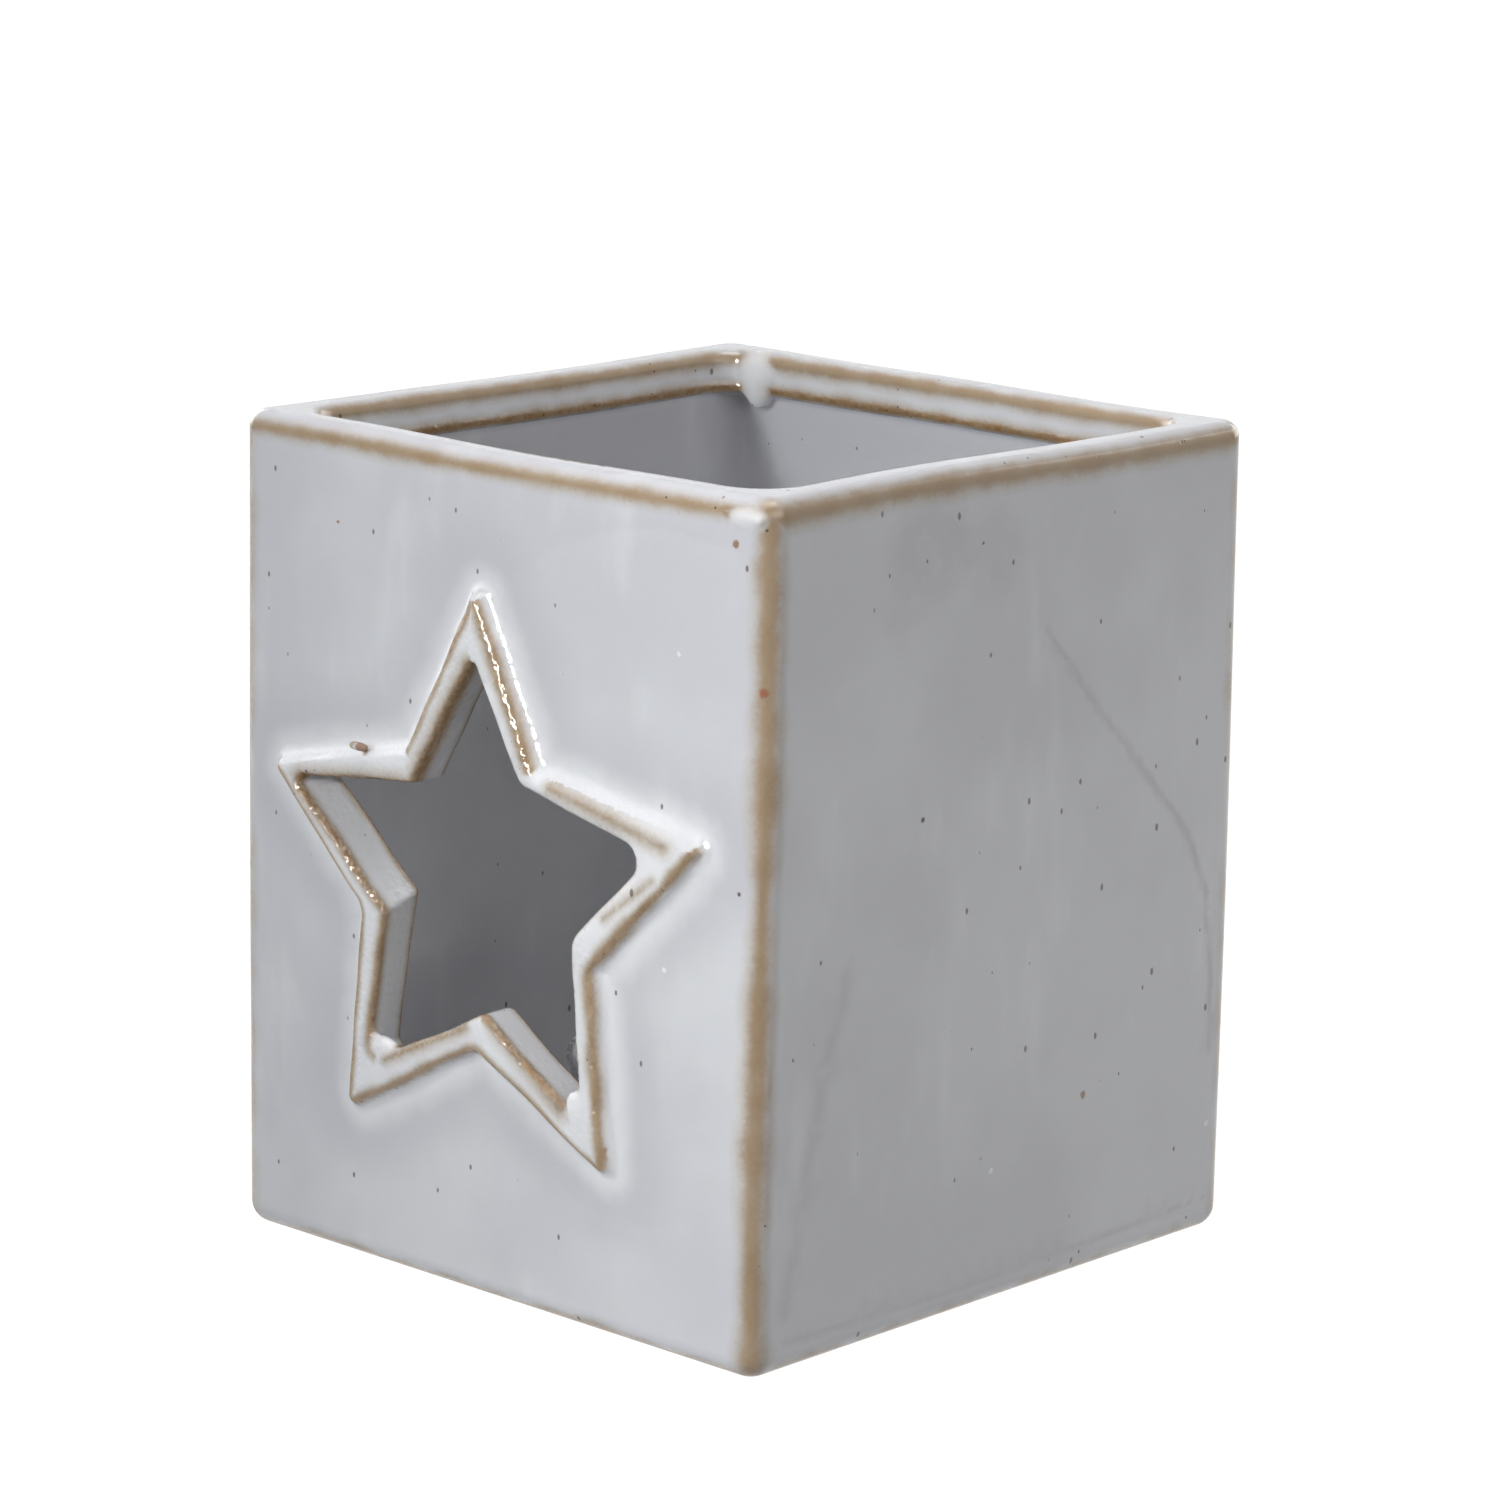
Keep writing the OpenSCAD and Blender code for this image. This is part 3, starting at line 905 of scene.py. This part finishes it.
def make_wax():
    """The wax puck, dipped towards the wick, with a hollow under it for the sustainer's disc and neck."""
    side, low, top = wax_high.x, wax_low.z, wax_high.z
    disc, neck, hole = disc_high.x + 0.05, 1.15, 0.86
    disc_roof, neck_roof, edge_r, dip_depth = low + 0.32, disc_high.z + 0.1, 0.8, 0.75
    profile = [(neck, disc_roof), (disc, disc_roof), (disc, low), (side - edge_r, low)]
    profile += arc(side - edge_r, low + edge_r, edge_r, -75, 0, 6)
    profile += [(side, z) for z in np.linspace(low + 1.5, top - 1.2, 8)]
    profile += [(side - 0.02, top - 0.7), (side - 0.12, top - 0.4), (side - 0.35, top - 0.22)]
    profile += [(side - 0.8, top - 0.2)]
    for r in np.linspace(side - 1.4, 2.6, 22):
        dip = dip_depth * (1 - ((r - 2) / (side - 2)) ** 4)
        profile.append((r, top - 0.25 - dip))
    profile += [(2.1, top - 0.95), (1.6, top - 0.8), (1.25, top - 0.5), (1.0, top - 0.15), (hole, top)]
    profile += [(hole, neck_roof), (neck, neck_roof)]

    def settled(angle, r, z):
        """The cooled top is not quite even."""
        uneven = (0.06 * np.sin(2 * angle + 0.4) + 0.04 * np.sin(5 * angle + r)
                  + 0.03 * np.sin(3 * angle - 0.7 * r))
        return r, z + np.where((z > top - 1.3) & (r > 1.2) & (r < side - 0.3), uneven, 0)

    wax = lathe("wax_puck", profile, 160, settled)
    wax.data.materials.append(wax_material())
    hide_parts("candle_wax")
    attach(wax, "candle")


def make_wick():
    """A braid of two sets of strands, upright in the wax and leaning a little where it stands free."""
    around, rings, pitch, strand, tip_length = 32, 230, 3.4, 0.09, 1.0
    low, top = wick_low.z, wick_high.z
    width = wick_high.x - 0.1
    angles = np.linspace(0, 2 * math.pi, around, endpoint=False)
    points = []
    for z in np.linspace(low, top - 0.25, rings):
        twist = 2 * math.pi * z / pitch
        strands = np.maximum(np.cos(3 * angles + twist), np.cos(3 * angles - twist))
        end = math.sqrt(max(0.0, 1 - max(0.0, (z - top + tip_length) / tip_length) ** 2))
        r = (width + strand * strands) * (0.25 + 0.75 * end)
        free = max(0.0, z - wax_high.z)
        lean = 0.011 * free ** 2
        points += list(zip(r * np.cos(angles) + lean, r * np.sin(angles) - 0.4 * lean, np.full(around, z)))
    foot, tip, last = rings * around, rings * around + 1, (rings - 1) * around
    tip_middle = np.array(points[last:])[:, :2].mean(axis=0)
    points += [(0, 0, low), (*tip_middle, top - 0.12)]
    faces = []
    for i in range(rings - 1):
        for j in range(around):
            k = (j + 1) % around
            faces.append([i * around + j, i * around + k, (i + 1) * around + k, (i + 1) * around + j])
    for j in range(around):
        k = (j + 1) % around
        faces += [[foot, k, j], [tip, last + j, last + k]]
    wick = mesh_object("cotton_wick", np.array(points), faces)
    wick.data.materials.append(wick_material())
    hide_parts("wick")
    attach(wick, "candle")


def make_sustainer():
    """The steel disc with its pressed bead and the neck that grips the wick."""
    low, disc, top = disc_low.z, disc_high.x, disc_high.z
    skin, inner, outer = 0.3, 0.84, 1.1
    over, bead, bead_over = low + skin, low + 0.08, low + skin + 0.08
    profile = [(0, low), (3.8, low), (4.1, bead), (4.7, bead), (5.0, low)]
    profile += arc(disc - skin / 2, low + skin / 2, skin / 2, -90, 90, 7)
    profile += [(5.0, over), (4.7, bead_over), (4.1, bead_over), (3.8, over)]
    profile += [(1.7, over), (1.3, over + 0.12), (outer, over + 0.5)]
    profile += [(outer, z) for z in np.linspace(low + 1.2, top - 0.3, 12)]
    profile += [(outer - 0.05, top - 0.05), (outer - 0.13, top),
                (inner + 0.02, top - 0.02), (inner, top - 0.2)]
    profile += [(inner, z) for z in np.linspace(top - 0.6, over + 0.05, 10)] + [(0, over)]

    def crimped(angle, r, z):
        """Three dents where the neck was pressed onto the wick."""
        at = np.exp(-((z - low - 2.3) / 0.6) ** 2)
        dent = 0.16 * at * np.clip(np.cos(3 * angle), 0, 1) ** 2
        return np.where((r < outer + 0.1) & (z > low + skin + 0.4), r - dent, r), z

    sustainer = lathe("steel_sustainer", profile, 96, crimped)
    sustainer.data.materials.append(steel_material())
    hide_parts("wick_sustainer")
    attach(sustainer, "candle")


# --- Stage ---
def make_floor():
    """A plain white floor just under the holder, so that their faces don't coincide."""
    reach, gap = 8.0, 0.00002
    corners = [(-reach, -reach, 0), (reach, -reach, 0), (reach, reach, 0), (-reach, reach, 0)]
    mesh = bpy.data.meshes.new("studio_floor")
    mesh.from_pydata(corners, [], [(0, 1, 2, 3)])
    floor = bpy.data.objects.new("studio_floor", mesh)
    floor.location.z = cad_low.z - gap
    s = Shader("white_sweep")
    grain = s.noise(40, 2, 0.5)
    s.set(Base_Color=s.mix(grain, (0.12, 0.12, 0.12), (0.11, 0.11, 0.111)), Roughness=0.9,
          Specular_IOR_Level=0.0)
    s.set(Emission_Color=(1, 1, 1), Emission_Strength=1.0)
    mesh.materials.append(s.material)
    bpy.context.scene.collection.objects.link(floor)
    floor.visible_diffuse = False
    floor.visible_shadow = False


def direction(azimuth, elevation):
    """From the holder towards that azimuth, which is 0 in front of the star, and elevation, in degrees."""
    a, e = math.radians(azimuth), math.radians(elevation)
    return Vector((math.sin(a) * math.cos(e), -math.cos(a) * math.cos(e), math.sin(e)))


def area_light(name, azimuth, elevation, distance, size, power, spread=180, aim=(0, 0, 0), unseen="",
               tint=(1, 1, 1)):
    """A softbox aimed at the holder's middle, or at aim from there. unseen names rays it doesn't light."""
    back = direction(azimuth, elevation)
    data = bpy.data.lights.new(name, "AREA")
    data.shape = "RECTANGLE"
    data.size, data.size_y = size
    data.energy = power
    data.spread = math.radians(spread)
    data.color = tint
    lamp = bpy.data.objects.new(name, data)
    middle = (cad_low + cad_high) / 2 + Vector(aim)
    lamp.location = middle + back * distance
    lamp.rotation_euler = (-back).to_track_quat("-Z", "Y").to_euler()
    lamp.visible_camera = False
    lamp.visible_diffuse = unseen != "diffuse"
    lamp.visible_glossy = unseen != "glossy"
    bpy.context.scene.collection.objects.link(lamp)


COOL, WARM = (0.97, 0.983, 1.0), (1.0, 1.0, 0.98)
NARROW = 24  # degrees


def make_lights():
    """Soft light from above and all round, a small highlight, and a beam on the right half of the front."""
    top, side, wall = (0.9, 0.9), (1.2, 0.9), {"elevation": 14, "distance": 1.6}
    area_light("overhead_softbox", azimuth=60, elevation=86, distance=1.6, size=top, power=16)
    area_light("key_softbox", azimuth=17, elevation=19, distance=1.0, size=(0.22, 0.26), power=0.75,
               spread=NARROW, aim=(0.02, -0.02, 0), unseen="diffuse")
    area_light("front_beam", azimuth=-15, elevation=19, distance=1.0, size=(0.14, 0.18), power=0.18,
               spread=NARROW, aim=(0.085, 0, 0), unseen="glossy", tint=COOL)
    area_light("front_fill", azimuth=-20, elevation=12, distance=1.6, size=(1.0, 0.9), power=3.15, tint=COOL)
    area_light("right_fill", azimuth=78, size=side, power=9.6, tint=WARM, **wall)
    area_light("left_fill", azimuth=-100, size=side, power=10, **wall)
    area_light("back_fill", azimuth=170, size=side, power=10, **wall)
    area_light("table_bounce", azimuth=0, elevation=-90, distance=1.0, size=(2.4, 2.4), power=8)
    world = bpy.data.worlds.new("studio")
    world.use_nodes = True
    world.node_tree.nodes["Background"].inputs["Color"].default_value = (1, 1, 1, 1)
    world.node_tree.nodes["Background"].inputs["Strength"].default_value = 1.0
    world.cycles_visibility.diffuse = False
    bpy.context.scene.world = world
    bpy.context.scene.view_settings.view_transform = "Standard"


# The camera fitted to the photograph: degrees, then metres, then millimetres
AZIMUTH, ELEVATION, ROLL = 42.739, 12.589, 0.952
AIM, DISTANCE = (0.000696, 0.000643, 0.055701), 0.591006
LENS, SENSOR = 125.712, 36.0


def make_camera():
    """The camera at the photograph's angle."""
    back, roll = direction(AZIMUTH, ELEVATION), math.radians(ROLL)
    right = (-back).cross(Vector((0, 0, 1))).normalized()
    up = right.cross(-back)
    right, up = math.cos(roll) * right + math.sin(roll) * up, math.cos(roll) * up - math.sin(roll) * right
    data = bpy.data.cameras.new("camera")
    data.lens, data.sensor_width = LENS, SENSOR
    data.clip_start, data.clip_end = 0.01, 50
    camera = bpy.data.objects.new("camera", data)
    camera.matrix_world = Matrix((right, up, back)).transposed().to_4x4()
    camera.location = Vector(AIM) + back * DISTANCE
    bpy.context.scene.collection.objects.link(camera)
    bpy.context.scene.camera = camera


make_camera()
make_lights()
make_floor()
make_body()
make_cup()
make_wax()
make_wick()
make_sustainer()
